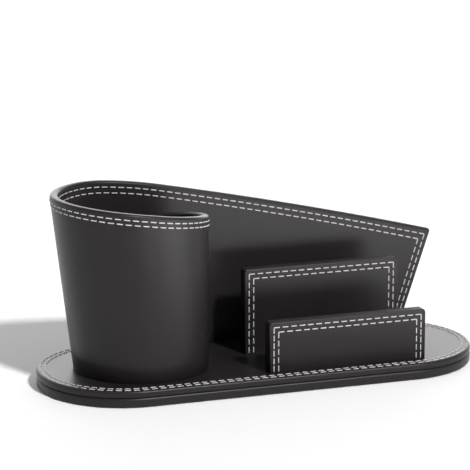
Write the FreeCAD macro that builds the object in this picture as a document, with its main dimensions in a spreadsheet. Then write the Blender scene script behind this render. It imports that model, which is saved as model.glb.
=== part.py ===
# Desk organizer of leather-covered board: a curled wall that forms a round cup and runs on as
# a falling back panel, a low front plate and a taller back plate, all tongued into a base of two
# stacked plates with round ends. Millimetres, +X along the base, +Y to the back, +Z up, with
# the origin at the middle of the underside.
import FreeCAD, Part

import math
import os

import Sketcher
from FreeCAD import Vector

# Driving dimensions: name, millimetres (degrees and ratios where the name says so), meaning.
SIZES = [
    ("skin", 0.8, "leather thickness"),
    ("glue_line", 0.05, "glue between a board and its leather"),
    ("lining_thick", 0.3, "soft sheet under the base"),
    ("lining_inset", 3.0, "lining edge inside the base edge"),
    ("lower_board_thick", 4.05, "board of the lower base plate"),
    ("upper_board_thick", 2.85, "board of the upper base plate"),
    ("base_edge_round", 1.4, "rounding of the base plates' top edges"),
    ("base_foot_round", 0.5, "rounding of the base plates' lower edges"),
    ("cup_left_margin", 18.8, "base's left end to the cup's foot"),
    ("cup_front_margin", 10.4, "base's front edge to the cup's foot"),
    ("tail_rear_margin", 13.0, "wall's rear face to the base's rear edge"),
    ("cup_foot_radius", 33.8, "outer radius of the cup at the base"),
    ("cup_foot_flat", 2.15, "straight run across the cup's front at the base"),
    ("cup_rim_radius", 38.0, "outer radius of the cup at full height"),
    ("cup_rim_flat", 4.65, "straight run across the cup's front at full height"),
    ("cup_left_lean", 12.2, "how far the cup's left side leans out at full height"),
    ("wall_board_thick", 2.5, "board inside the wall"),
    ("rim_height", 101.15, "desk to the highest stretch of the wall's top edge"),
    ("back_level_run", 42.0, "level top edge from the cup's left side towards the back"),
    ("back_bend_radius", 240.0, "bend from the level top edge into the tail's fall"),
    ("tail_slope_ratio", 0.196, "fall of the tail's top edge where the bend ends"),
    ("tail_bow_radius", 2280.0, "slow bow of the tail's top edge"),
    ("front_level_run", 1.5, "level top edge from the cup's left side towards the front"),
    ("front_bend_radius", 420.0, "bend from the level top edge into the curl's fall"),
    ("front_slope_ratio", 0.148, "fall of the curl's top edge where the bend ends"),
    ("tail_end_margin", 24.5, "tail's foot to the base's right end"),
    ("tail_end_angle", 18.6, "degrees that the tail's end leans out"),
    ("curl_clearance", 0.2, "curl's end to the tail's front face"),
    ("wall_point_gap", 3.2, "spacing of the points that the wall's curves pass through"),
    ("plate_gap", 22.15, "cup's foot to the two plates"),
    ("plate_width", 86.25, "width of both plates"),
    ("plate_right_margin", 38.05, "plates to the base's right end"),
    ("plate_board_thick", 4.7, "board inside a plate"),
    ("plate_corner_round", 2.0, "rounding of a plate's two top corners"),
    ("plate_edge_round", 0.8, "rounding of a plate's edges"),
    ("front_plate_margin", 8.3, "base's front edge to the front plate"),
    ("front_plate_height", 26.5, "front plate above the base"),
    ("back_plate_height", 45.5, "back plate above the base"),
    ("rear_slot", 21.4, "back plate to the tail's front face"),
    ("seat_depth", 2.8, "tongue of the wall and plates below the base's top"),
    ("seat_clearance", 0.15, "groove clearance round a tongue"),
    ("thread_width", 0.6, "stitching thread across"),
    ("thread_rise", 0.35, "stitching thread above the leather"),
    ("base_row_outer", 1.8, "outer stitch row inside the base's edge"),
    ("base_row_inner", 4.6, "inner stitch row inside the base's edge"),
    ("plate_row_outer", 2.6, "outer stitch row inside a plate's edge"),
    ("plate_row_inner", 5.1, "inner stitch row inside a plate's edge"),
    ("outside_row_upper", 3.05, "upper stitch row below the wall's edge, on its outer face"),
    ("outside_row_lower", 5.45, "lower stitch row below the wall's edge, on its outer face"),
    ("inside_row_upper", 3.3, "upper stitch row below the wall's edge, on its inner face"),
    ("inside_row_lower", 6.35, "lower stitch row below the wall's edge, on its inner face"),
    ("curl_row_gap", 6.0, "stitch rows' end short of the curl's end"),
]

doc = FreeCAD.newDocument("desk_organizer")
sheet = doc.addObject("Spreadsheet::Sheet", "sizes")
for row, (alias, value, meaning) in enumerate(SIZES, start=1):
    sheet.set(f"A{row}", meaning)
    sheet.set(f"B{row}", str(value))
    sheet.setAlias(f"B{row}", alias)
doc.recompute()

# Places nearer than this count as the same place.
SAME = 1e-6

# Derived lengths, as expressions on the sheet.
WALL_THICK = "(sizes.wall_board_thick + 2 * (sizes.skin + sizes.glue_line))"
PLATE_THICK = "(sizes.plate_board_thick + 2 * (sizes.skin + sizes.glue_line))"
CUP_WIDTH = "(2 * sizes.cup_foot_radius + sizes.cup_foot_flat)"
BASE_LENGTH = (
    f"(sizes.cup_left_margin + {CUP_WIDTH} + sizes.plate_gap"
    " + sizes.plate_width + sizes.plate_right_margin)"
)
BASE_DEPTH = "(sizes.cup_front_margin + 2 * sizes.cup_foot_radius + sizes.tail_rear_margin)"
LOWER_Z = "sizes.lining_thick"
LOWER_TOP = f"({LOWER_Z} + sizes.lower_board_thick + sizes.skin)"
BASE_TOP = f"({LOWER_TOP} + sizes.upper_board_thick + sizes.skin)"
SEAT_Z = f"({BASE_TOP} - sizes.seat_depth)"
REAR_FACE = f"({BASE_DEPTH} / 2 - sizes.tail_rear_margin)"
PLATE_X = f"({BASE_LENGTH} / 2 - sizes.plate_right_margin - sizes.plate_width)"
FRONT_PLATE_Y = f"(sizes.front_plate_margin - {BASE_DEPTH} / 2)"
BACK_PLATE_Y = f"({REAR_FACE} - {WALL_THICK} - sizes.rear_slot - {PLATE_THICK})"


def measure(expression):
    """The present value of an expression on the sheet."""
    return float(sheet.evalExpression(expression))


def make_body(name):
    body = doc.addObject("PartDesign::Body", name)
    return body


def sketch_on_floor(body, name, height, corner=("0", "0")):
    """A sketch on the body's XY plane, raised to a height and moved to a corner."""
    sketch = body.newObject("Sketcher::SketchObject", name)
    plane = next(f for f in body.Origin.OriginFeatures if f.Role == "XY_Plane")
    sketch.AttachmentSupport = [(plane, "")]
    sketch.MapMode = "FlatFace"
    for axis, place in zip("xyz", (*corner, height)):
        sketch.setExpression(f"AttachmentOffset.Base.{axis}", place)
    return sketch


def bind(sketch, constraint, name, expression):
    """Adds a sized constraint and ties it to the sheet."""
    index = sketch.addConstraint(constraint)
    sketch.renameConstraint(index, name)
    sketch.setExpression(f"Constraints.{name}", expression)


def draw_stadium(sketch, name, inset):
    """The base's outline, two half circles and two straights, drawn in by an inset."""
    depth = f"{BASE_DEPTH} - 2 * ({inset})"
    radius = measure(f"({depth}) / 2")
    half = measure(f"({BASE_LENGTH} - {BASE_DEPTH}) / 2")
    up = Vector(0, 0, 1)
    quarter = math.pi / 2
    rear = sketch.addGeometry(Part.LineSegment(Vector(-half, radius, 0), Vector(half, radius, 0)))
    right = sketch.addGeometry(
        Part.ArcOfCircle(Part.Circle(Vector(half, 0, 0), up, radius), -quarter, quarter)
    )
    front = sketch.addGeometry(Part.LineSegment(Vector(half, -radius, 0), Vector(-half, -radius, 0)))
    left = sketch.addGeometry(
        Part.ArcOfCircle(Part.Circle(Vector(-half, 0, 0), up, radius), quarter, 3 * quarter)
    )
    for joint in ((rear, 2, right, 2), (right, 1, front, 1), (front, 2, left, 2), (left, 1, rear, 1)):
        sketch.addConstraint(Sketcher.Constraint("Tangent", *joint))
    sketch.addConstraint(Sketcher.Constraint("Equal", right, left))
    sketch.addConstraint(Sketcher.Constraint("Symmetric", right, 3, left, 3, -1, 1))
    sketch.addConstraint(Sketcher.Constraint("PointOnObject", right, 3, -1))
    bind(sketch, Sketcher.Constraint("Radius", right, radius), f"{name}_radius", f"({depth}) / 2")
    bind(
        sketch,
        Sketcher.Constraint("DistanceX", left, 3, right, 3, 2 * half),
        f"{name}_span",
        f"{BASE_LENGTH} - {BASE_DEPTH}",
    )


def draw_rectangle(sketch, width, depth):
    """A rectangle with one corner at the sketch's origin."""
    x = measure(width)
    y = measure(depth)
    corners = [Vector(0, 0, 0), Vector(x, 0, 0), Vector(x, y, 0), Vector(0, y, 0)]
    for start, end in zip(corners, corners[1:] + corners[:1]):
        sketch.addGeometry(Part.LineSegment(start, end))
    for side in range(4):
        sketch.addConstraint(Sketcher.Constraint("Coincident", side, 2, (side + 1) % 4, 1))
        sketch.addConstraint(Sketcher.Constraint("Vertical" if side % 2 else "Horizontal", side))
    sketch.addConstraint(Sketcher.Constraint("Coincident", 0, 1, -1, 1))
    bind(sketch, Sketcher.Constraint("DistanceX", 0, 1, 0, 2, x), "width", width)
    bind(sketch, Sketcher.Constraint("DistanceY", 1, 1, 1, 2, y), "depth", depth)


def pad(body, sketch, name, height):
    feature = body.newObject("PartDesign::Pad", name)
    feature.Profile = sketch
    feature.setExpression("Length", height)
    doc.recompute()
    return feature


def pocket_up(body, sketch, name, height):
    """Hollows the body upwards from a sketch on its underside."""
    feature = body.newObject("PartDesign::Pocket", name)
    feature.Profile = sketch
    feature.Reversed = True
    feature.setExpression("Length", height)
    before = body.Shape.Volume
    doc.recompute()
    if not feature.Shape.Volume < before:
        raise RuntimeError(f"{name} cut nothing")
    return feature


def round_edges(body, base, name, radius, wanted):
    """Rounds those edges of a feature that the test picks."""
    picked = [f"Edge{i}" for i, edge in enumerate(base.Shape.Edges, start=1) if wanted(edge)]
    feature = body.newObject("PartDesign::Fillet", name)
    feature.Base = (base, picked)
    feature.setExpression("Radius", radius)
    doc.recompute()
    return feature


def at_height(height):
    """A test for edges that lie level at a height."""
    level = measure(height)
    return lambda edge: all(abs(v.Z - level) < SAME for v in edge.Vertexes)


def make_box(name, place, size):
    """A box from expressions for its lowest corner and its three sides."""
    box = doc.addObject("Part::Box", name)
    for axis, expression in zip("xyz", place):
        box.setExpression(f"Placement.Base.{axis}", expression)
    for side, expression in zip(("Length", "Width", "Height"), size):
        box.setExpression(side, expression)
    return box


def make_cut(name, base, tool):
    cut = doc.addObject("Part::Cut", name)
    cut.Base = base
    cut.Tool = tool
    return cut


# Base plates: a board in a leather cover that is open below, with the outline of a stadium.
def stadium_slab(name, inset, bottom, height):
    body = make_body(name)
    sketch = sketch_on_floor(body, f"{name}_outline", bottom)
    draw_stadium(sketch, "edge", inset)
    pad(body, sketch, f"{name}_pad", height)
    return body


def plate_cover(name, bottom, board_thick):
    """Leather over the top and round the edge of a base plate."""
    top = f"({bottom} + {board_thick} + sizes.skin)"
    body = stadium_slab(name, "0", bottom, f"{board_thick} + sizes.skin")
    upper = round_edges(body, body.Tip, f"{name}_top_round", "sizes.base_edge_round", at_height(top))
    round_edges(body, upper, f"{name}_low_round", "sizes.base_foot_round", at_height(bottom))
    sketch = sketch_on_floor(body, f"{name}_hollow_outline", bottom)
    draw_stadium(sketch, "hollow", "sizes.skin")
    pocket_up(body, sketch, f"{name}_hollow", board_thick)
    return body


BOARD_INSET = "sizes.skin + sizes.glue_line"
base_lining = stadium_slab("base_lining", "sizes.lining_inset", "0", "sizes.lining_thick")
base_lower_board = stadium_slab("base_lower_board", BOARD_INSET, LOWER_Z, "sizes.lower_board_thick")
base_lower_cover = plate_cover("base_lower_cover", LOWER_Z, "sizes.lower_board_thick")
upper_board_blank = stadium_slab("upper_board_blank", BOARD_INSET, LOWER_TOP, "sizes.upper_board_thick")
upper_cover_blank = plate_cover("upper_cover_blank", LOWER_TOP, "sizes.upper_board_thick")


def base_thread(name, row):
    """One row of stitching round the base, as a flat ring on the leather."""
    body = make_body(name)
    sketch = sketch_on_floor(body, f"{name}_rings", BASE_TOP)
    draw_stadium(sketch, "outer", f"{row} - sizes.thread_width / 2")
    draw_stadium(sketch, "inner", f"{row} + sizes.thread_width / 2")
    pad(body, sketch, f"{name}_pad", "sizes.thread_rise")
    return body


base_thread_outer = base_thread("base_thread_outer", "sizes.base_row_outer")
base_thread_inner = base_thread("base_thread_inner", "sizes.base_row_inner")


# Front and back plates: a board that tongues into the base, in a leather cover open below.
def plate_board(name, y, height):
    """The board, from the foot of its tongue to just under the leather on top."""
    return make_box(
        name,
        (f"{PLATE_X} + {BOARD_INSET}", f"{y} + {BOARD_INSET}", SEAT_Z),
        (
            f"sizes.plate_width - 2 * ({BOARD_INSET})",
            "sizes.plate_board_thick",
            f"{height} + sizes.seat_depth - {BOARD_INSET}",
        ),
    )


def plate_leather(name, y, height):
    body = make_body(name)
    sketch = sketch_on_floor(body, f"{name}_outline", BASE_TOP, (PLATE_X, y))
    draw_rectangle(sketch, "sizes.plate_width", PLATE_THICK)
    block = pad(body, sketch, f"{name}_pad", height)
    top = at_height(f"{BASE_TOP} + {height}")
    depth = measure(PLATE_THICK)
    corners = round_edges(
        body,
        block,
        f"{name}_corners",
        "sizes.plate_corner_round",
        lambda edge: top(edge) and abs(edge.Length - depth) < SAME,
    )
    foot = at_height(BASE_TOP)
    faces = (measure(y), measure(y) + depth)
    round_edges(
        body,
        corners,
        f"{name}_edges",
        "sizes.plate_edge_round",
        lambda edge: not foot(edge)
        and any(all(abs(v.Y - face) < SAME for v in edge.Vertexes) for face in faces),
    )
    hollow = sketch_on_floor(
        body,
        f"{name}_hollow_outline",
        BASE_TOP,
        (f"{PLATE_X} + sizes.skin", f"{y} + sizes.skin"),
    )
    draw_rectangle(hollow, "sizes.plate_width - 2 * sizes.skin", f"{PLATE_THICK} - 2 * sizes.skin")
    pocket_up(body, hollow, f"{name}_hollow", f"{height} - sizes.skin")
    return body


def plate_thread(name, y, height, row):
    """One row of stitching up, across and down both faces of a plate."""
    reach = "(sizes.thread_rise + sizes.glue_line)"
    near = f"({row} - sizes.thread_width / 2)"
    far = f"({row} + sizes.thread_width / 2)"

    def arch(label, inset, spare):
        return make_box(
            f"{name}_{label}",
            (f"{PLATE_X} + {inset}", f"{y} - {reach} - {spare}", f"{BASE_TOP} - {spare}"),
            (
                f"sizes.plate_width - 2 * {inset}",
                f"{PLATE_THICK} + 2 * ({reach} + {spare})",
                f"{height} - {inset} + {spare}",
            ),
        )

    band = make_cut(f"{name}_band", arch("outside", near, "0"), arch("inside", far, "sizes.skin"))
    plate = make_box(
        f"{name}_plate",
        (PLATE_X, f"{y} - sizes.glue_line", SEAT_Z),
        (
            "sizes.plate_width",
            f"{PLATE_THICK} + 2 * sizes.glue_line",
            f"{height} + sizes.seat_depth",
        ),
    )
    return make_cut(name, band, plate)


def plate_slot(name, y):
    """The groove in the base that takes a plate's tongue."""
    inset = f"({BOARD_INSET} - sizes.seat_clearance)"
    return make_box(
        name,
        (f"{PLATE_X} + {inset}", f"{y} + {inset}", f"{SEAT_Z} - sizes.seat_clearance"),
        (
            f"sizes.plate_width - 2 * {inset}",
            "sizes.plate_board_thick + 2 * sizes.seat_clearance",
            "sizes.seat_depth + 2 * sizes.seat_clearance",
        ),
    )


plate_nodes = []
slots = []
for side, y, height in (
    ("front", FRONT_PLATE_Y, "sizes.front_plate_height"),
    ("back", BACK_PLATE_Y, "sizes.back_plate_height"),
):
    plate_nodes.append(plate_board(f"{side}_plate_board", y, height))
    plate_nodes.append(plate_leather(f"{side}_plate_cover", y, height))
    plate_nodes.append(plate_thread(f"{side}_plate_thread_outer", y, height, "sizes.plate_row_outer"))
    plate_nodes.append(plate_thread(f"{side}_plate_thread_inner", y, height, "sizes.plate_row_inner"))
    slots.append(plate_slot(f"{side}_plate_slot", y))


# Wall: one board, curled from the tail's end round the cup's back, left side, front and right
# side, until its end meets the tail's front face. Straight lines join the foot's outline to the
# wider outline at full height, so the cup flares to the left and front.
class WallPath:
    """The wall's path, with its two ends drawn back by a trim."""

    # The tail's end leans, so its top edge is found by a few rounds of closer guesses.
    GUESSES = 8

    def __init__(self, tail_trim=0.0, curl_trim=0.0):
        self.base_top = measure(BASE_TOP)
        self.rear = measure(REAR_FACE)
        self.foot_left = sheet.cup_left_margin - measure(BASE_LENGTH) / 2
        self.tail_foot = measure(BASE_LENGTH) / 2 - sheet.tail_end_margin - tail_trim
        self.end_lean = math.tan(math.radians(sheet.tail_end_angle))
        thick = measure(WALL_THICK)
        smaller = min(sheet.cup_foot_radius, sheet.cup_rim_radius)
        end = math.asin(1 - (thick + sheet.curl_clearance) / smaller)
        self.right_turn = math.pi / 2 + end - curl_trim / smaller

    def stations(self):
        """Places along the path: a stretch and the share of it that is passed."""
        left, right, middle, radius, tail = self.ring(True)
        lengths = {
            "tail": tail - left,
            "back_left": math.pi * radius,
            "front": right - left,
            "right": self.right_turn * radius,
        }
        path = [("tail", 0.0)]
        for stretch, length in lengths.items():
            steps = math.ceil(length / sheet.wall_point_gap)
            path += [(stretch, step / steps) for step in range(1, steps + 1)]
        return path

    def ring(self, rim):
        """Left centre, right centre, centre depth, radius and tail end of one outline."""
        radius = sheet.cup_rim_radius if rim else sheet.cup_foot_radius
        flat = sheet.cup_rim_flat if rim else sheet.cup_foot_flat
        left = self.foot_left + radius - (sheet.cup_left_lean if rim else 0)
        rise = sheet.rim_height - self.base_top if rim else 0
        return left, left + flat, self.rear - radius, radius, self.tail_foot + rise * self.end_lean

    def on_ring(self, rim, station, depth):
        """A point of one outline, at a depth inside the wall's outer face."""
        stretch, share = station
        left, right, middle, radius, tail = self.ring(rim)
        reach = radius - depth
        if stretch == "tail":
            return tail + (left - tail) * share, middle + reach
        if stretch == "front":
            return left + (right - left) * share, middle - reach
        if stretch == "back_left":
            centre = left
            angle = math.pi / 2 + math.pi * share
        else:
            centre = right
            angle = 1.5 * math.pi + self.right_turn * share
        return centre + reach * math.cos(angle), middle + reach * math.sin(angle)

    def point(self, station, height, depth):
        share = (height - self.base_top) / (sheet.rim_height - self.base_top)
        foot = self.on_ring(False, station, depth)
        rim = self.on_ring(True, station, depth)
        x, y = (low + (high - low) * share for low, high in zip(foot, rim))
        return Vector(x, y, height)

    def run(self, station, height):
        """Length along the rim from the cup's left side, positive towards the back."""
        stretch, share = station
        left, right, middle, radius, tail = self.ring(True)
        quarter = radius * math.pi / 2
        if stretch == "tail":
            return quarter + self.point(station, height, 0).x - left
        if stretch == "back_left":
            return quarter * (1 - 2 * share)
        if stretch == "front":
            return -quarter - (right - left) * share
        return -quarter - (right - left) - radius * self.right_turn * share

    def top(self, station):
        """Height of the top edge: level at the left, falling to the tail and to the curl's end."""
        height = sheet.rim_height
        for guess in range(self.GUESSES):
            run = self.run(station, height)
            if run >= 0:
                fall = edge_fall(
                    run - sheet.back_level_run,
                    sheet.back_bend_radius,
                    sheet.tail_slope_ratio,
                    1 / sheet.tail_bow_radius,
                )
            else:
                fall = edge_fall(
                    -run - sheet.front_level_run, sheet.front_bend_radius, sheet.front_slope_ratio, 0
                )
            height = sheet.rim_height - fall
        return height


def edge_fall(run, bend_radius, slope, bow):
    """Fall of the top edge past its level stretch: a bend, then a slope that may bow."""
    if run <= 0:
        return 0.0
    turn = math.atan(slope)
    bend_run = bend_radius * math.sin(turn)
    if run < bend_run:
        return bend_radius - math.sqrt(bend_radius**2 - run**2)
    rest = run - bend_run
    return bend_radius * (1 - math.cos(turn)) + slope * rest + bow * rest**2 / 2


def sweep_wall(path, section):
    """A solid along the path: each corner of its section is a depth and a height function."""
    stations = path.stations()
    plan = [Vector(*path.on_ring(False, station, 0)) for station in stations]
    lengths = [0.0]
    for start, end in zip(plan, plan[1:]):
        lengths.append(lengths[-1] + start.distanceToPoint(end))
    corners = []
    for depth, height in section:
        corners.append([path.point(station, height(station), depth) for station in stations])
    curves = []
    for points in corners:
        curve = Part.BSplineCurve()
        curve.interpolate(Points=points, Parameters=lengths)
        curves.append(curve)
    faces = [a.makeRuledSurface(b).toShape() for a, b in zip(curves, curves[1:] + curves[:1])]
    for end in (0, -1):
        loop = [points[end] for points in corners]
        faces.append(Part.Face(Part.makePolygon(loop + loop[:1])))
    skin = Part.makeShell(faces)
    skin.sewShape()
    solid = Part.Solid(skin)
    if solid.Volume < 0:
        solid.reverse()
    return solid


def wall_feature(name, shape):
    feature = doc.addObject("Part::Feature", name)
    feature.Shape = shape
    return feature


full_path = WallPath()
skin = sheet.skin
glue = sheet.glue_line
wall_thick = measure(WALL_THICK)
base_top = measure(BASE_TOP)
board_face = skin + glue
board_back = wall_thick - skin - glue
end_slant = math.cos(math.radians(sheet.tail_end_angle))
end_wrap = skin / end_slant
board_path = WallPath(tail_trim=end_wrap + glue / end_slant)


def level(height):
    """A height function that is the same all along the wall."""
    return lambda station: height


def below_top(path, drop):
    """A height function that follows the top edge at a drop below it."""
    return lambda station: path.top(station) - drop


wall_board = wall_feature(
    "wall_board",
    sweep_wall(
        board_path,
        [
            (board_face, level(base_top - sheet.seat_depth)),
            (board_face, below_top(board_path, skin + glue)),
            (board_back, below_top(board_path, skin + glue)),
            (board_back, level(base_top - sheet.seat_depth)),
        ],
    ),
)

# The outer leather folds over the board's top edge and round the tail's end.
outer_leather = sweep_wall(
    full_path,
    [
        (0, level(base_top)),
        (0, below_top(full_path, 0)),
        (wall_thick - skin, below_top(full_path, 0)),
        (wall_thick - skin, below_top(full_path, skin)),
        (skin, below_top(full_path, skin)),
        (skin, level(base_top)),
    ],
)
end_path = WallPath(tail_trim=end_wrap)
tail_end = ("tail", 0.0)
flap_lap = skin / 2
flap_top = full_path.top(tail_end) - flap_lap
flap_loop = [
    full_path.point(tail_end, base_top, flap_lap),
    full_path.point(tail_end, flap_top, flap_lap),
    end_path.point(tail_end, flap_top, flap_lap),
    end_path.point(tail_end, base_top, flap_lap),
]
end_flap = Part.Face(Part.makePolygon(flap_loop + flap_loop[:1]))
end_flap = end_flap.extrude(Vector(0, flap_lap + skin - wall_thick, 0))
wall_outer_cover = wall_feature("wall_outer_cover", outer_leather.fuse(end_flap))

wall_inner_cover = wall_feature(
    "wall_inner_cover",
    sweep_wall(
        full_path,
        [
            (wall_thick - skin, level(base_top)),
            (wall_thick - skin, below_top(full_path, 0)),
            (wall_thick, below_top(full_path, 0)),
            (wall_thick, level(base_top)),
        ],
    ),
)


def wall_thread(name, outside_row, inside_row):
    """One row of stitching on both faces, along the top edge and down the tail's end."""
    half = sheet.thread_width / 2
    solids = []
    for inner, row in ((-glue - sheet.thread_rise, outside_row), (wall_thick + glue, inside_row)):
        outer = inner + sheet.thread_rise
        path = WallPath(tail_trim=(row - half) / end_slant, curl_trim=sheet.curl_row_gap)
        solids.append(
            sweep_wall(
                path,
                [
                    (inner, below_top(path, row + half)),
                    (inner, below_top(path, row - half)),
                    (outer, below_top(path, row - half)),
                    (outer, below_top(path, row + half)),
                ],
            )
        )
        edge = WallPath(tail_trim=(row + half) / end_slant)
        strip_top = path.top(tail_end) - row - half
        corners = [
            path.point(tail_end, base_top, inner),
            path.point(tail_end, strip_top, inner),
            edge.point(tail_end, strip_top, inner),
            edge.point(tail_end, base_top, inner),
        ]
        strip = Part.Face(Part.makePolygon(corners + corners[:1]))
        solids.append(strip.extrude(Vector(0, -sheet.thread_rise, 0)))
    return wall_feature(name, Part.makeCompound(solids))


wall_thread_upper = wall_thread("wall_thread_upper", sheet.outside_row_upper, sheet.inside_row_upper)
wall_thread_lower = wall_thread("wall_thread_lower", sheet.outside_row_lower, sheet.inside_row_lower)

# Grooves in the upper base plate for the wall's tongue and the plates' tongues.
clearance = sheet.seat_clearance
groove_path = WallPath(
    tail_trim=end_wrap + glue / end_slant - clearance,
    curl_trim=-clearance,
)
wall_groove = wall_feature(
    "wall_groove",
    sweep_wall(
        groove_path,
        [
            (board_face - clearance, level(base_top - sheet.seat_depth - clearance)),
            (board_face - clearance, level(base_top + clearance)),
            (board_back + clearance, level(base_top + clearance)),
            (board_back + clearance, level(base_top - sheet.seat_depth - clearance)),
        ],
    ),
)
grooves = doc.addObject("Part::Compound", "grooves")
grooves.Links = [wall_groove, *slots]
base_upper_board = make_cut("base_upper_board", upper_board_blank, grooves)
base_upper_cover = make_cut("base_upper_cover", upper_cover_blank, grooves)
doc.recompute()

nodes = [
    base_lining,
    base_lower_board,
    base_lower_cover,
    base_upper_board,
    base_upper_cover,
    base_thread_outer,
    base_thread_inner,
    wall_board,
    wall_outer_cover,
    wall_inner_cover,
    wall_thread_upper,
    wall_thread_lower,
    *plate_nodes,
]
for item in doc.Objects:
    if "Invalid" in item.State or "Error" in item.State:
        raise RuntimeError(f"{item.Name} failed: {item.State}")
for node in nodes:
    if node.Shape.isNull() or not node.Shape.isValid():
        raise RuntimeError(f"{node.Label} has no valid shape")
    if not node.Shape.Solids:
        raise RuntimeError(f"{node.Label} has no solid")

os.makedirs("parts", exist_ok=True)
for node in nodes:
    node.Shape.exportStep(f"parts/{node.Label}.step")
    size = node.Shape.BoundBox
    print(
        f"{node.Label}: {len(node.Shape.Solids)} solid(s), {node.Shape.Volume:.1f} mm3,"
        f" {size.XLength:.1f} x {size.YLength:.1f} x {size.ZLength:.1f}"
    )
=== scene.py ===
import bmesh
import bpy
import math
from mathutils import Matrix, Vector


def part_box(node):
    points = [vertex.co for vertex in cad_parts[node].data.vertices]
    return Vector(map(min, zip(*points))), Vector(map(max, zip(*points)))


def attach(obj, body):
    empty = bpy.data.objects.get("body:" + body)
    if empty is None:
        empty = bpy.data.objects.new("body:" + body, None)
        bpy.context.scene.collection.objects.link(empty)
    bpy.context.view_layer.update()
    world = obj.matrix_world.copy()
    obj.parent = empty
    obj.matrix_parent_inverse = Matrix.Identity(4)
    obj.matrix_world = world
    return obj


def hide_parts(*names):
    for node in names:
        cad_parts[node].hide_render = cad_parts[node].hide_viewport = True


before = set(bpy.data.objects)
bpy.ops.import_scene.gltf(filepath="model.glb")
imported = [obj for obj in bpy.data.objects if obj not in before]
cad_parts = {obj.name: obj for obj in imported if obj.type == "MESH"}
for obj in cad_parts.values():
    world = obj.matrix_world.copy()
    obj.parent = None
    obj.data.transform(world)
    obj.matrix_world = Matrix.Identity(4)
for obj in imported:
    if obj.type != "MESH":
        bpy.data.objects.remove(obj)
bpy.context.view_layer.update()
MM = 0.001


# Lining: a thin sheet of black flock glued under the base, set in a little from its edge.
# It keeps the organizer from scratching the desk, and its pile is short and matt.
LINING_COLOUR = "#141314"
LINING_SHADOW = "#0c0b0c"
LINING_PILE_MM = 0.5
LINING_PILE_RISE_MM = 0.2


def linear(hex_colour):
    """Linear RGBA from an sRGB hex colour."""
    shares = [int(hex_colour[i : i + 2], 16) / 255 for i in (1, 3, 5)]
    return [c / 12.92 if c <= 0.04045 else ((c + 0.055) / 1.055) ** 2.4 for c in shares] + [1.0]


def add(tree, kind, inputs=None, **settings):
    """Adds a node with its settings; an input is a value or another node's socket."""
    node = tree.nodes.new(kind)
    for name, value in settings.items():
        setattr(node, name, value)
    for name, value in (inputs or {}).items():
        if isinstance(value, bpy.types.NodeSocket):
            tree.links.new(value, node.inputs[name])
        else:
            node.inputs[name].default_value = value
    return node


def new_material(name):
    material = bpy.data.materials.new(name)
    material.use_nodes = True
    material.node_tree.nodes.clear()
    return material, material.node_tree


def per_metre(millimetres):
    """Texture scale for a pattern of this size."""
    return 1 / (millimetres * MM)


def flock_material():
    """Flock: short upright fibres, which scatter light softly and show no gloss."""
    material, tree = new_material("black_flock")
    place = add(tree, "ShaderNodeTexCoord")
    pile = add(
        tree,
        "ShaderNodeTexNoise",
        {"Vector": place.outputs["Object"], "Scale": per_metre(LINING_PILE_MM), "Detail": 3.0},
    )
    raised = add(
        tree,
        "ShaderNodeBump",
        {"Height": pile.outputs["Fac"], "Strength": 0.6, "Distance": LINING_PILE_RISE_MM * MM},
    )
    shade = add(
        tree,
        "ShaderNodeMixRGB",
        {"Fac": pile.outputs["Fac"], "Color1": linear(LINING_SHADOW), "Color2": linear(LINING_COLOUR)},
    )
    surface = add(
        tree,
        "ShaderNodeBsdfPrincipled",
        {
            "Base Color": shade.outputs["Color"],
            "Roughness": 0.95,
            "Sheen Weight": 0.25,
            "Normal": raised.outputs["Normal"],
        },
    )
    add(tree, "ShaderNodeOutputMaterial", {"Surface": surface.outputs["BSDF"]})
    return material


def dress_node(node, material):
    """Gives a CAD node that keeps its shape a finished material."""
    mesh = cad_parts[node].data
    mesh.materials.clear()
    mesh.materials.append(material)


dress_node("base_lining", flock_material())


# Boards: raw fibreboard in the base and plates, and greyboard that bends in the wall.
# Leather hides them all, so only their fibre colour and roughness are given.
FIBRE_MM = 0.7
FIBREBOARD_PALE = "#b29470"
FIBREBOARD_DARK = "#8a6c4b"
GREYBOARD_PALE = "#a89f92"
GREYBOARD_DARK = "#8c8377"


def board_material(name, pale, dark):
    """Pressed fibre: a speckled, dull brown or grey surface."""
    material, tree = new_material(name)
    place = add(tree, "ShaderNodeTexCoord")
    fibre = add(
        tree,
        "ShaderNodeTexNoise",
        {"Vector": place.outputs["Object"], "Scale": per_metre(FIBRE_MM), "Detail": 4.0},
    )
    shade = add(
        tree,
        "ShaderNodeMixRGB",
        {"Fac": fibre.outputs["Fac"], "Color1": linear(dark), "Color2": linear(pale)},
    )
    surface = add(
        tree,
        "ShaderNodeBsdfPrincipled",
        {"Base Color": shade.outputs["Color"], "Roughness": 0.85},
    )
    add(tree, "ShaderNodeOutputMaterial", {"Surface": surface.outputs["BSDF"]})
    return material


fibreboard = board_material("raw_fibreboard", FIBREBOARD_PALE, FIBREBOARD_DARK)
for node in ("base_lower_board", "base_upper_board", "front_plate_board", "back_plate_board"):
    dress_node(node, fibreboard)
dress_node("wall_board", board_material("raw_greyboard", GREYBOARD_PALE, GREYBOARD_DARK))


# Base plates: two round-ended boards, each wrapped in black synthetic leather that turns over
# a rounded edge. They are glued one on the other, so a dark groove runs between them.
LEATHER_DARK = "#1c191b"
LEATHER_PALE = "#252224"
LEATHER_GRAIN_MM = 1.1
LEATHER_GRAIN_RISE_MM = 0.06
LEATHER_DOME_SHARE = 0.28
LEATHER_PORE_MM = 0.35
LEATHER_PORE_RISE_MM = 0.04
LEATHER_CLOUD_MM = 26.0
BASE_TOP_ROUND_MM = 1.4
GROOVE_ROUND_MM = 0.9
FOOT_ROUND_MM = 0.7
END_STEPS = 56
ROUND_STEPS = 5
SAME_PLACE = 1e-6


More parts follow.
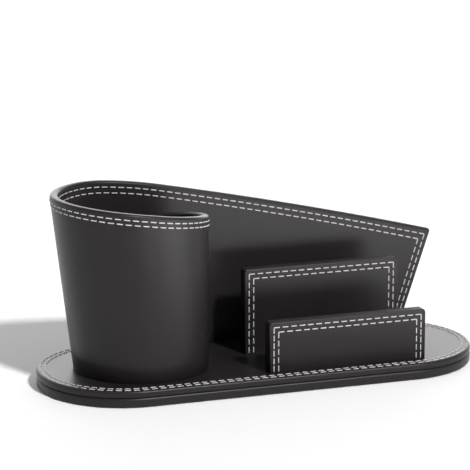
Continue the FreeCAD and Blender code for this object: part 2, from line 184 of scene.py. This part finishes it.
def leather_material():
    """Coated leather: a satin film over shallow cells, with faint clouds in its gloss."""
    material, tree = new_material("black_leather")
    place = add(tree, "ShaderNodeTexCoord")
    where = place.outputs["Object"]
    cells = add(
        tree,
        "ShaderNodeTexVoronoi",
        {"Vector": where, "Scale": per_metre(LEATHER_GRAIN_MM), "Randomness": 0.9},
        feature="DISTANCE_TO_EDGE",
    )
    pores = add(
        tree,
        "ShaderNodeTexNoise",
        {"Vector": where, "Scale": per_metre(LEATHER_PORE_MM), "Detail": 2.0},
    )
    clouds = add(
        tree,
        "ShaderNodeTexNoise",
        {"Vector": where, "Scale": per_metre(LEATHER_CLOUD_MM), "Detail": 3.0},
    )
    domes = add(
        tree,
        "ShaderNodeMapRange",
        {"Value": cells.outputs["Distance"], "From Max": LEATHER_DOME_SHARE},
    )
    grain = add(
        tree,
        "ShaderNodeBump",
        {
            "Height": domes.outputs["Result"],
            "Strength": 0.16,
            "Distance": LEATHER_GRAIN_RISE_MM * MM,
        },
    )
    fine = add(
        tree,
        "ShaderNodeBump",
        {
            "Height": pores.outputs["Fac"],
            "Strength": 0.08,
            "Distance": LEATHER_PORE_RISE_MM * MM,
            "Normal": grain.outputs["Normal"],
        },
    )
    shade = add(
        tree,
        "ShaderNodeMixRGB",
        {
            "Fac": clouds.outputs["Fac"],
            "Color1": linear(LEATHER_DARK),
            "Color2": linear(LEATHER_PALE),
        },
    )
    gloss = add(
        tree,
        "ShaderNodeMapRange",
        {"Value": clouds.outputs["Fac"], "To Min": 0.5, "To Max": 0.58},
    )
    surface = add(
        tree,
        "ShaderNodeBsdfPrincipled",
        {
            "Base Color": shade.outputs["Color"],
            "Roughness": gloss.outputs["Result"],
            "IOR": 1.15,
            "Coat Weight": 0.65,
            "Coat Roughness": 0.35,
            "Coat IOR": 1.35,
            "Normal": fine.outputs["Normal"],
        },
    )
    add(tree, "ShaderNodeOutputMaterial", {"Surface": surface.outputs["BSDF"]})
    return material


leather = leather_material()


def finish_piece(name, shape, material, replaced):
    """Makes a mesh object that rides on the organizer in place of CAD nodes."""
    mesh = bpy.data.meshes.new(name)
    shape.to_mesh(mesh)
    shape.free()
    mesh.materials.append(material)
    mesh.shade_smooth()
    piece = bpy.data.objects.new(name, mesh)
    bpy.context.scene.collection.objects.link(piece)
    even = piece.modifiers.new("even_shading", "WEIGHTED_NORMAL")
    even.keep_sharp = True
    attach(piece, "root")
    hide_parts(*replaced)


base_low, base_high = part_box("base_upper_cover")
BASE_RADIUS = (base_high.y - base_low.y) / 2
BASE_CENTRE = base_high.x - BASE_RADIUS
BASE_TOP = base_high.z


def stadium_face(shape, radius, height):
    """A flat face with two straight sides and two half-round ends."""
    for side in (1, -1):
        start = shape.verts.new((side * BASE_CENTRE, -side * radius, height))
        bmesh.ops.spin(
            shape,
            geom=[start],
            cent=(side * BASE_CENTRE, 0, height),
            axis=(0, 0, 1),
            angle=math.pi,
            steps=END_STEPS,
        )
    shape.verts.ensure_lookup_table()
    per_end = END_STEPS + 1
    shape.edges.new((shape.verts[per_end - 1], shape.verts[per_end]))
    shape.edges.new((shape.verts[2 * per_end - 1], shape.verts[0]))
    bmesh.ops.contextual_create(shape, geom=shape.edges[:])
    return shape.faces[:][0]


def bevel_edges(shape, edges, radius):
    bmesh.ops.bevel(
        shape,
        geom=edges,
        offset=radius,
        affect="EDGES",
        segments=ROUND_STEPS,
        profile=0.5,
        material=-1,
        clamp_overlap=True,
    )


def level_edges(shape, height):
    """Edges that lie level at a height."""
    return [
        edge
        for edge in shape.edges
        if all(abs(vert.co.z - height) < SAME_PLACE for vert in edge.verts)
    ]


def base_plate(name, node, low_round):
    low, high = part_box(node)
    shape = bmesh.new()
    face = stadium_face(shape, BASE_RADIUS, low.z)
    raised = bmesh.ops.extrude_face_region(shape, geom=[face])
    lifted = [item for item in raised["geom"] if isinstance(item, bmesh.types.BMVert)]
    bmesh.ops.translate(shape, verts=lifted, vec=(0, 0, high.z - low.z))
    bmesh.ops.recalc_face_normals(shape, faces=shape.faces[:])
    bevel_edges(shape, level_edges(shape, high.z), BASE_TOP_ROUND_MM * MM)
    bevel_edges(shape, level_edges(shape, low.z), low_round * MM)
    finish_piece(name, shape, leather, [node])


base_plate("base_lower_leather", "base_lower_cover", FOOT_ROUND_MM)
base_plate("base_upper_leather", "base_upper_cover", GROOVE_ROUND_MM)


# Stitching: off-white waxed thread, two strands twisted, lock-stitched through the leather.
# Each stitch is a short round dash whose ends dip into the leather.
THREAD_COLOUR = "#d4d0ce"
# The thread's darker colour is painted shade, laid in the grooves of the twist.
THREAD_GROOVE_SHADE = "#b0aaa8"
THREAD_MM = 0.62
STITCH_MM = 3.2
STITCH_PITCH_MM = 4.45
STITCH_DIP_MM = 0.18
STITCH_RISE_SHARE = 0.25
STITCH_SIDES = 8
STITCH_RINGS = 5
STRANDS_PER_STITCH = 5.0
STRAND_DEGREES = 35
STRAND_RISE_MM = 0.08
BASE_ROWS_MM = {"outer": 1.8, "inner": 4.6}


def thread_material():
    """Waxed twisted thread: pale, soft in gloss, with the twist as slanting ribs and painted shade in
    the grooves between them.
    """
    material, tree = new_material("waxed_thread")
    place = add(tree, "ShaderNodeTexCoord")
    slant = add(
        tree,
        "ShaderNodeMapping",
        {"Vector": place.outputs["UV"], "Rotation": (0.0, 0.0, math.radians(STRAND_DEGREES))},
    )
    twist = add(
        tree,
        "ShaderNodeTexWave",
        {"Vector": slant.outputs["Vector"], "Scale": STRANDS_PER_STITCH},
        bands_direction="Y",
    )
    ribs = add(
        tree,
        "ShaderNodeBump",
        {"Height": twist.outputs["Fac"], "Strength": 0.5, "Distance": STRAND_RISE_MM * MM},
    )
    # Painted shade: the colour darkens where the twist's ribs sink.
    shade = add(
        tree,
        "ShaderNodeMixRGB",
        {
            "Fac": twist.outputs["Fac"],
            "Color1": linear(THREAD_GROOVE_SHADE),
            "Color2": linear(THREAD_COLOUR),
        },
    )
    surface = add(
        tree,
        "ShaderNodeBsdfPrincipled",
        {
            "Base Color": shade.outputs["Color"],
            "Roughness": 0.6,
            "Sheen Weight": 0.2,
            "Normal": ribs.outputs["Normal"],
        },
    )
    add(tree, "ShaderNodeOutputMaterial", {"Surface": surface.outputs["BSDF"]})
    return material


thread = thread_material()


def stitch_mesh():
    """One stitch along Z, rounded at both ends, which dip away from +Y."""
    shape = bmesh.new()
    shape.loops.layers.uv.new()
    radius = THREAD_MM * MM / 2
    bmesh.ops.create_uvsphere(
        shape,
        u_segments=STITCH_SIDES,
        v_segments=STITCH_RINGS,
        radius=radius,
        calc_uvs=True,
    )
    reach = STITCH_MM * MM / 2 - radius
    for vert in shape.verts:
        dip = STITCH_DIP_MM * MM * abs(vert.co.z) / radius
        vert.co += Vector((0, radius * STITCH_RISE_SHARE - dip, math.copysign(reach, vert.co.z)))
    mesh = bpy.data.meshes.new("stitch")
    shape.to_mesh(mesh)
    shape.free()
    return mesh


one_stitch = stitch_mesh()


def lay_stitch(shape, middle, along, outward):
    """Adds one stitch that lies on a surface along a direction."""
    across = along.cross(outward).normalized()
    turn = Matrix((across, outward, along)).transposed().to_4x4()
    shape.from_mesh(one_stitch)
    shape.verts.ensure_lookup_table()
    bmesh.ops.transform(
        shape,
        matrix=Matrix.Translation(middle) @ turn,
        verts=shape.verts[-len(one_stitch.vertices) :],
    )


def stitch_along(shape, line, outwards, first, last):
    """Stitches along a line of points, the first and last at these lengths from its ends."""
    lengths = [0.0]
    for start, end in zip(line, line[1:]):
        lengths.append(lengths[-1] + (end - start).length)
    room = lengths[-1] - first - last
    gaps = max(1, round(room / (STITCH_PITCH_MM * MM)))
    step = 0
    for index in range(gaps + 1):
        want = first + room * index / gaps
        while lengths[step + 1] < want:
            step += 1
        share = (want - lengths[step]) / (lengths[step + 1] - lengths[step])
        along = (line[step + 1] - line[step]).normalized()
        outward = outwards[step].lerp(outwards[step + 1], share)
        outward = (outward - along * outward.dot(along)).normalized()
        lay_stitch(shape, line[step].lerp(line[step + 1], share), along, outward)


CORNER_STITCH = STITCH_MM * MM / 2
OPEN_STITCH = STITCH_PITCH_MM * MM / 2


def stitched(name, shape, replaced):
    finish_piece(name, shape, thread, [replaced])


def base_row(row, inset, middle_inset):
    """One row round the base; both rows have as many stitches, so they run side by side."""
    shape = bmesh.new()
    up = Vector((0, 0, 1))
    radius = BASE_RADIUS - inset
    pitch = STITCH_PITCH_MM * MM
    on_end = round(math.pi * (BASE_RADIUS - middle_inset) / pitch)
    on_side = round(2 * BASE_CENTRE / pitch)
    for side in (1, -1):
        for index in range(on_end):
            angle = math.pi * ((index + 0.5) / on_end - 0.5)
            middle = Vector((BASE_CENTRE + radius * math.cos(angle), radius * math.sin(angle), 0))
            along = Vector((-math.sin(angle), math.cos(angle), 0))
            lay_stitch(shape, middle * side + up * BASE_TOP, along * side, up)
        for index in range(on_side):
            x = BASE_CENTRE * (1 - 2 * (index + 0.5) / on_side)
            lay_stitch(shape, Vector((x * side, radius * side, BASE_TOP)), Vector((-side, 0, 0)), up)
    stitched(f"base_stitches_{row}", shape, f"base_thread_{row}")


middle_inset = sum(BASE_ROWS_MM.values()) * MM / len(BASE_ROWS_MM)
for row, inset in BASE_ROWS_MM.items():
    base_row(row, inset * MM, middle_inset)


# Wall: one bending board, curled into a round cup and running on as the falling back panel.
# Leather covers both faces and is folded over the rounded top edge and the tail's end.
WALL_MM = 4.2
FOOT_RADIUS_MM = 33.8
FOOT_FLAT_MM = 2.15
RIM_RADIUS_MM = 38.0
RIM_FLAT_MM = 4.65
LEFT_LEAN_MM = 12.2
CURL_GAP_MM = 0.2
TAIL_LEAN_DEGREES = 18.6
TAIL_END_MARGIN_MM = 24.5
BACK_LEVEL_MM = 42.0
BACK_BEND_MM = 240.0
TAIL_SLOPE = 0.196
TAIL_BOW_MM = 2280.0
FRONT_LEVEL_MM = 1.5
FRONT_BEND_MM = 420.0
FRONT_SLOPE = 0.148
WALL_EDGE_ROUND_MM = 1.5
TIP_ROUND_MM = 1.8
WALL_STEP_MM = 3.0
WALL_ROWS = 9
TOP_EDGE_GUESSES = 8
SHARP_DEGREES = 50
OUTSIDE_ROWS_MM = {"upper": 3.05, "lower": 5.45}
INSIDE_ROWS_MM = {"upper": 3.3, "lower": 6.35}
CURL_ROW_GAP_MM = 6.0
FACING_REACH_MM = 0.2

wall_low, wall_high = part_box("wall_outer_cover")
RIM_HEIGHT = wall_high.z
REAR_FACE = wall_high.y
FOOT_LEFT = wall_low.x + LEFT_LEAN_MM * MM
TAIL_FOOT = base_high.x - TAIL_END_MARGIN_MM * MM
TAIL_RIM = TAIL_FOOT + (RIM_HEIGHT - BASE_TOP) * math.tan(math.radians(TAIL_LEAN_DEGREES))
QUARTER = RIM_RADIUS_MM * MM * math.pi / 2
RIM_LEFT = wall_low.x + RIM_RADIUS_MM * MM
TAIL_RUN = QUARTER + TAIL_RIM - RIM_LEFT
CURL_TURN = math.pi / 2 + math.asin(1 - (WALL_MM + CURL_GAP_MM) / FOOT_RADIUS_MM)
CURL_RUN = -QUARTER - RIM_FLAT_MM * MM - RIM_RADIUS_MM * MM * CURL_TURN


def outline_point(run, rim, depth):
    """A point of the foot's or the rim's outline, by its length along the rim."""
    radius = (RIM_RADIUS_MM if rim else FOOT_RADIUS_MM) * MM
    flat = (RIM_FLAT_MM if rim else FOOT_FLAT_MM) * MM
    left = (wall_low.x if rim else FOOT_LEFT) + radius
    tail = TAIL_RIM if rim else TAIL_FOOT
    middle = REAR_FACE - radius
    reach = radius - depth
    past_front = -run - QUARTER
    rim_flat = RIM_FLAT_MM * MM
    if run > QUARTER:
        share = (run - QUARTER) / (TAIL_RUN - QUARTER)
        return Vector((left + (tail - left) * share, middle + reach))
    if past_front <= 0:
        angle = math.pi - run / (RIM_RADIUS_MM * MM)
        return Vector((left + reach * math.cos(angle), middle + reach * math.sin(angle)))
    if past_front < rim_flat:
        return Vector((left + flat * past_front / rim_flat, middle - reach))
    angle = 1.5 * math.pi + (past_front - rim_flat) / (RIM_RADIUS_MM * MM)
    return Vector((left + flat + reach * math.cos(angle), middle + reach * math.sin(angle)))


def wall_point(run, height, depth):
    """A point of the wall: straight lines join the foot's outline to the rim's."""
    share = (height - BASE_TOP) / (RIM_HEIGHT - BASE_TOP)
    place = outline_point(run, False, depth).lerp(outline_point(run, True, depth), share)
    return Vector((place.x, place.y, height))


def edge_fall(run, bend, slope, bow):
    """Fall of the top edge past its level stretch: a bend, then a slope that may bow."""
    if run <= 0:
        return 0.0
    turn = math.atan(slope)
    bend_run = bend * math.sin(turn)
    if run < bend_run:
        return bend - math.sqrt(bend**2 - run**2)
    rest = run - bend_run
    return bend * (1 - math.cos(turn)) + slope * rest + bow * rest**2 / 2


def wall_top(run):
    """Height of the top edge, which is level at the left and falls both ways."""
    if run < 0:
        fall = edge_fall(-run - FRONT_LEVEL_MM * MM, FRONT_BEND_MM * MM, FRONT_SLOPE, 0)
        return RIM_HEIGHT - fall
    height = RIM_HEIGHT
    for guess in range(TOP_EDGE_GUESSES):
        along = run
        if run > QUARTER:
            along = QUARTER + wall_point(run, height, 0).x - RIM_LEFT
        past = along - BACK_LEVEL_MM * MM
        fall = edge_fall(past, BACK_BEND_MM * MM, TAIL_SLOPE, 1 / (TAIL_BOW_MM * MM))
        height = RIM_HEIGHT - fall
    return height


def evenly(start, end, step):
    """Numbers from start to end, about a step apart."""
    count = max(1, math.ceil(abs(end - start) / step))
    return [start + (end - start) * index / count for index in range(count + 1)]


def wall_leather():
    shape = bmesh.new()
    run_layer = shape.verts.layers.float.new("run")
    height_layer = shape.verts.layers.float.new("height")
    chain = []
    for run in evenly(TAIL_RUN, CURL_RUN, WALL_STEP_MM * MM):
        vert = shape.verts.new(wall_point(run, BASE_TOP, 0))
        vert[run_layer] = run
        vert[height_layer] = BASE_TOP
        chain.append(vert)
    edges = [shape.edges.new(pair) for pair in zip(chain, chain[1:])]
    for row in range(1, WALL_ROWS + 1):
        raised = bmesh.ops.extrude_edge_only(shape, edges=edges)["geom"]
        edges = [item for item in raised if isinstance(item, bmesh.types.BMEdge)]
        for vert in (item for item in raised if isinstance(item, bmesh.types.BMVert)):
            run = vert[run_layer]
            height = BASE_TOP + (wall_top(run) - BASE_TOP) * row / WALL_ROWS
            vert[height_layer] = height
            vert.co = wall_point(run, height, 0)
    backed = bmesh.ops.extrude_face_region(shape, geom=shape.faces[:], use_keep_orig=True)
    for vert in (item for item in backed["geom"] if isinstance(item, bmesh.types.BMVert)):
        vert.co = wall_point(vert[run_layer], vert[height_layer], WALL_MM * MM)
    bmesh.ops.recalc_face_normals(shape, faces=shape.faces[:])
    return shape


def sharp_edges(shape):
    """Edges that turn sharply, apart from those on the base's top."""
    least = math.radians(SHARP_DEGREES)
    return [
        edge
        for edge in shape.edges
        if len(edge.link_faces) == 2
        and edge.calc_face_angle() > least
        and any(vert.co.z > BASE_TOP + SAME_PLACE for vert in edge.verts)
    ]


def tip_edges(shape):
    """The level edge across the wall's thickness at the tail's upper corner."""
    nearest = WALL_MM * MM + SAME_PLACE
    return [
        edge
        for edge in sharp_edges(shape)
        if all((vert.co - wall_point(TAIL_RUN, vert.co.z, 0)).length < nearest for vert in edge.verts)
        and abs(edge.verts[0].co.z - edge.verts[1].co.z) < SAME_PLACE
    ]


shape = wall_leather()
bevel_edges(shape, tip_edges(shape), TIP_ROUND_MM * MM)
bevel_edges(shape, sharp_edges(shape), WALL_EDGE_ROUND_MM * MM)
finish_piece("wall_leather", shape, leather, ["wall_outer_cover", "wall_inner_cover"])


def wall_row(shape, drop, depth):
    """Stitches on one face of the wall: along the top edge and down the tail's end."""
    lean = math.cos(math.radians(TAIL_LEAN_DEGREES))
    end_run = TAIL_RUN - drop / lean
    curl_end = CURL_RUN + CURL_ROW_GAP_MM * MM
    side = -1 if depth > 0 else 1
    reach = FACING_REACH_MM * MM

    def facing(run, height):
        ruling = wall_point(run, height + MM, depth) - wall_point(run, height - MM, depth)
        ahead = wall_point(run - reach, height, depth) - wall_point(run + reach, height, depth)
        return (ahead.cross(ruling) * side).normalized()

    runs = evenly(curl_end, end_run, MM)
    line = [wall_point(run, wall_top(run) - drop, depth) for run in runs]
    outwards = [facing(run, wall_top(run) - drop) for run in runs]
    stitch_along(shape, line, outwards, CORNER_STITCH, CORNER_STITCH)
    heights = evenly(wall_top(end_run) - drop, BASE_TOP, MM)
    line = [wall_point(end_run, height, depth) for height in heights]
    outwards = [facing(end_run, height) for height in heights]
    stitch_along(shape, line, outwards, CORNER_STITCH, OPEN_STITCH)


for row in OUTSIDE_ROWS_MM:
    shape = bmesh.new()
    wall_row(shape, OUTSIDE_ROWS_MM[row] * MM, 0.0)
    wall_row(shape, INSIDE_ROWS_MM[row] * MM, WALL_MM * MM)
    stitched(f"wall_stitches_{row}", shape, f"wall_thread_{row}")


# Front and back plates: upright boards in wrapped leather, tongued into the base, with two
# rows of stitching up their sides and across the top. The gap between them is a slot.
PLATE_CORNER_MM = 1.8
PLATE_EDGE_MM = 0.8
PLATE_ROWS_MM = {"outer": 2.6, "inner": 5.1}


def plate_leather(side):
    low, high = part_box(f"{side}_plate_cover")
    size = high - low
    shape = bmesh.new()
    place = Matrix.Translation((low + high) / 2) @ Matrix.Diagonal((*size, 1))
    bmesh.ops.create_cube(shape, size=1, matrix=place)
    corners = [
        edge
        for edge in level_edges(shape, high.z)
        if abs(edge.calc_length() - size.y) < SAME_PLACE
    ]
    bevel_edges(shape, corners, PLATE_CORNER_MM * MM)
    bevel_edges(shape, sharp_edges(shape), PLATE_EDGE_MM * MM)
    finish_piece(f"{side}_plate_leather", shape, leather, [f"{side}_plate_cover"])


def plate_rows(side):
    low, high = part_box(f"{side}_plate_cover")
    for row, inset_mm in PLATE_ROWS_MM.items():
        inset = inset_mm * MM
        shape = bmesh.new()
        for depth, facing in ((low.y, -1), (high.y, 1)):
            outward = Vector((0, facing, 0))
            left = Vector((low.x + inset, depth, high.z - inset))
            right = Vector((high.x - inset, depth, high.z - inset))
            drop = Vector((0, 0, BASE_TOP - left.z))
            stitch_along(shape, [left, right], [outward] * 2, CORNER_STITCH, CORNER_STITCH)
            for corner in (left, right):
                stitch_along(shape, [corner, corner + drop], [outward] * 2, CORNER_STITCH, OPEN_STITCH)
        stitched(f"{side}_plate_stitches_{row}", shape, f"{side}_plate_thread_{row}")


for side in ("front", "back"):
    plate_leather(side)
    plate_rows(side)


# Studio: a white paper floor, a white surround behind it and a dimmer room in front. A soft key
# light from the front throws the shadow back to the left, a lamp lights the floor in front, and a
# wide lamp far behind gives the base's top its sheen.
FLOOR_COLOUR = "#fcfcfc"
FLOOR_SIZE = 6.0
CAMERA_PLACE = Vector((-0.4276, -1.1843, 0.3676))
CAMERA_AHEAD = Vector((0.3223, 0.9187, -0.2282))
CAMERA_RIGHT = Vector((0.9436, -0.3310, 0.0))
CAMERA_LENS_MM = 191.49
CAMERA_SENSOR_MM = 36.0
KEY_FROM = Vector((0.20, -0.66, 0.62))
KEY_DEGREES = 6.0
KEY_STRENGTH = 3.0
ROOM_LIGHT = 0.38
ROOM_FRONT = 0.28
PATCH_PLACE = Vector((0.20, -0.36, 0.0))
PATCH_RADIUS = 0.30
PATCH_LAMP_HEIGHT = 1.0
PATCH_POWER = 270.0
BACK_PLACE = Vector((0.55, 1.60, 0.50))
BACK_SIZE = (1.8, 0.9)
BACK_POWER = 13.0
BACK_AIM = Vector((0.0, 0.0, 0.05))


def floor_material():
    """Seamless white paper, which the key light brings to white outside the shadow."""
    material, tree = new_material("white_paper")
    paper = add(tree, "ShaderNodeBsdfDiffuse", {"Color": linear(FLOOR_COLOUR)})
    add(tree, "ShaderNodeOutputMaterial", {"Surface": paper.outputs["BSDF"]})
    return material


def make_floor():
    shape = bmesh.new()
    bmesh.ops.create_grid(shape, x_segments=1, y_segments=1, size=FLOOR_SIZE / 2)
    mesh = bpy.data.meshes.new("floor")
    shape.to_mesh(mesh)
    shape.free()
    mesh.materials.append(floor_material())
    floor = bpy.data.objects.new("floor", mesh)
    bpy.context.scene.collection.objects.link(floor)


def make_world():
    world = bpy.data.worlds.new("white_surround")
    bpy.context.scene.world = world
    world.use_nodes = True
    tree = world.node_tree
    tree.nodes.clear()
    path = add(tree, "ShaderNodeLightPath")
    place = add(tree, "ShaderNodeTexCoord")
    towards = add(tree, "ShaderNodeSeparateXYZ", {"Vector": place.outputs["Generated"]})
    mirrored = add(
        tree,
        "ShaderNodeMapRange",
        {"Value": towards.outputs["Y"], "From Min": -0.1, "From Max": 0.6, "To Min": ROOM_FRONT},
        interpolation_type="SMOOTHSTEP",
    )
    lit = add(
        tree,
        "ShaderNodeMix",
        {0: path.outputs["Is Glossy Ray"], 2: ROOM_LIGHT, 3: mirrored.outputs["Result"]},
    )
    clear = add(
        tree,
        "ShaderNodeMath",
        {0: path.outputs["Is Camera Ray"], 1: path.outputs["Is Transmission Ray"]},
        operation="MAXIMUM",
    )
    level = add(
        tree,
        "ShaderNodeMix",
        {0: clear.outputs["Value"], 2: lit.outputs[0], 3: 1.0},
    )
    light = add(
        tree,
        "ShaderNodeBackground",
        {"Color": linear("#ffffff"), "Strength": level.outputs[0]},
    )
    add(tree, "ShaderNodeOutputWorld", {"Surface": light.outputs["Background"]})


def key_light():
    lamp = bpy.data.lights.new("key_light", "SUN")
    lamp.angle = math.radians(KEY_DEGREES)
    lamp.energy = KEY_STRENGTH
    light = bpy.data.objects.new("key_light", lamp)
    light.location = KEY_FROM
    light.rotation_euler = (-KEY_FROM).to_track_quat("-Z", "Y").to_euler()
    bpy.context.scene.collection.objects.link(light)


def floor_light():
    """A lamp straight above the floor in front, whose bright patch the leather mirrors."""
    lamp = bpy.data.lights.new("floor_light", "SPOT")
    lamp.spot_size = 2 * math.atan(PATCH_RADIUS / PATCH_LAMP_HEIGHT)
    lamp.spot_blend = 1.0
    lamp.energy = PATCH_POWER
    light = bpy.data.objects.new("floor_light", lamp)
    light.location = PATCH_PLACE + Vector((0, 0, PATCH_LAMP_HEIGHT))
    bpy.context.scene.collection.objects.link(light)


def back_light():
    """A flat diffuser, turned to the organizer, that shows as a soft reflection."""
    lamp = bpy.data.lights.new("back_light", "AREA")
    lamp.shape = "RECTANGLE"
    lamp.size, lamp.size_y = BACK_SIZE
    lamp.energy = BACK_POWER
    light = bpy.data.objects.new("back_light", lamp)
    light.location = BACK_PLACE
    light.rotation_euler = (BACK_AIM - BACK_PLACE).to_track_quat("-Z", "Y").to_euler()
    bpy.context.scene.collection.objects.link(light)


make_floor()
make_world()
key_light()
floor_light()
back_light()

camera_data = bpy.data.cameras.new("camera")
camera_data.lens = CAMERA_LENS_MM
camera_data.sensor_width = CAMERA_SENSOR_MM
camera = bpy.data.objects.new("camera", camera_data)
camera_up = CAMERA_RIGHT.cross(CAMERA_AHEAD)
turn = Matrix((CAMERA_RIGHT, camera_up, -CAMERA_AHEAD)).transposed()
camera.matrix_world = Matrix.Translation(CAMERA_PLACE) @ turn.to_4x4()
bpy.context.scene.collection.objects.link(camera)
bpy.context.scene.camera = camera
bpy.context.scene.view_settings.view_transform = "Standard"
